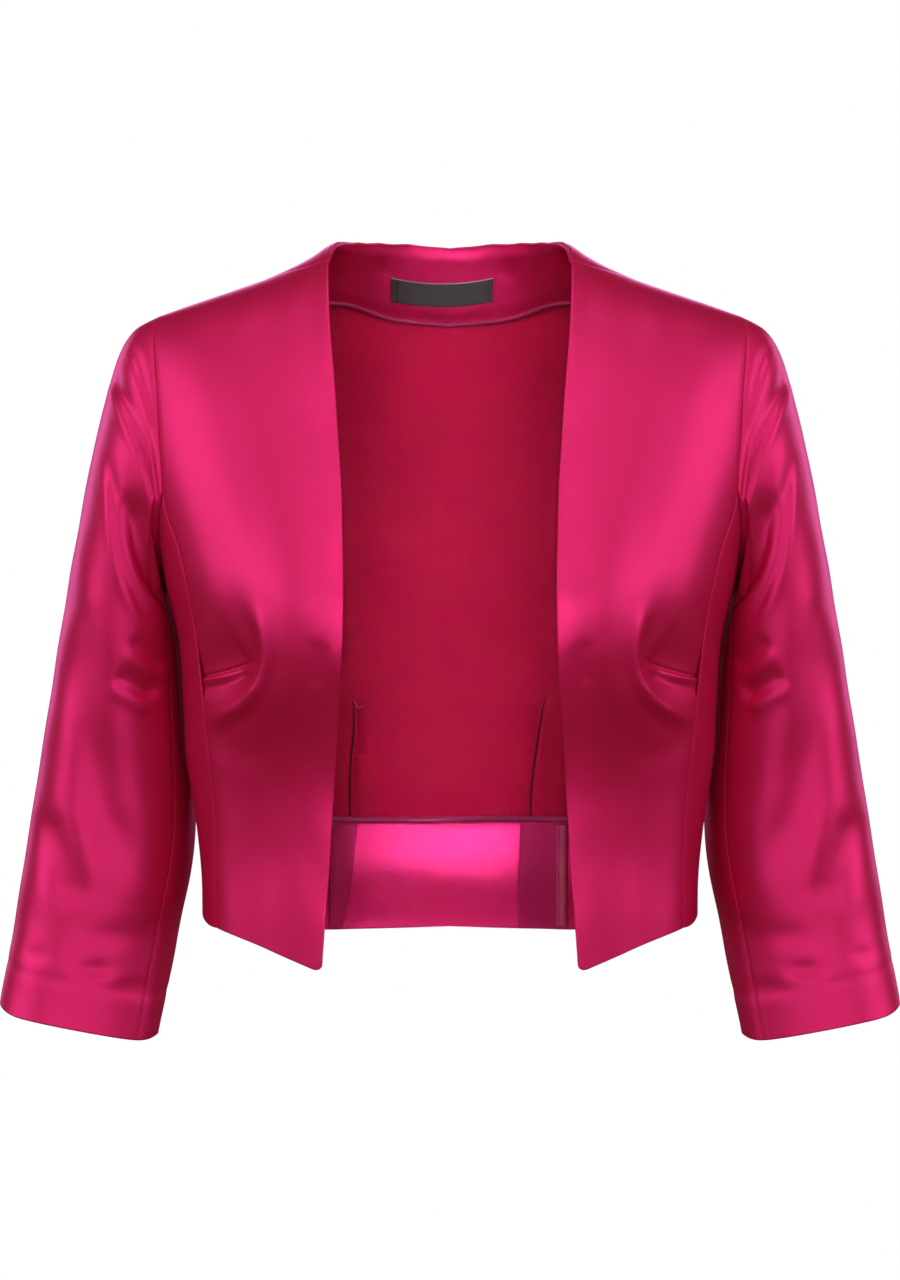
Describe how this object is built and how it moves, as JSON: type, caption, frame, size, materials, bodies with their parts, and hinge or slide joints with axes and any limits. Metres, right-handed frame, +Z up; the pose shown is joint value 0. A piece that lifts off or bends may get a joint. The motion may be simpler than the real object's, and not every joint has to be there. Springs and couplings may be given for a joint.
{
  "type": "bolero jacket",
  "caption": "Cropped bolero jacket in its worn, hollow form, open at the front, with a raised back neck, princess seams and three-quarter sleeves.",
  "frame": {"origin": "midway between the shoulders, at the height of the middle of the shoulder seams, where the wearer's shoulders hold the jacket", "axes": "+X to the viewer's right across the shoulders, +Y to the back, +Z up; the front faces -Y"},
  "size_m": [0.596, 0.2058, 0.5293],
  "materials": {
    "satin": "satin",
    "lining": "matt",
    "piping": "soft sheen",
    "label": "woven, matt"
  },
  "bodies": {
    "root": {"front_left": "satin", "front_right": "satin", "side_left": "satin", "side_right": "satin", "back": "satin", "sleeve_top_left": "satin", "sleeve_top_right": "satin", "sleeve_under_left": "satin", "sleeve_under_right": "satin", "neck_facing": "satin", "hem_facing": "satin", "seam_allowance_left": "satin", "seam_allowance_right": "satin", "back_lining": "lining", "neck_piping": "piping", "hem_piping": "piping", "label": "label"}
  },
  "joints": []
}
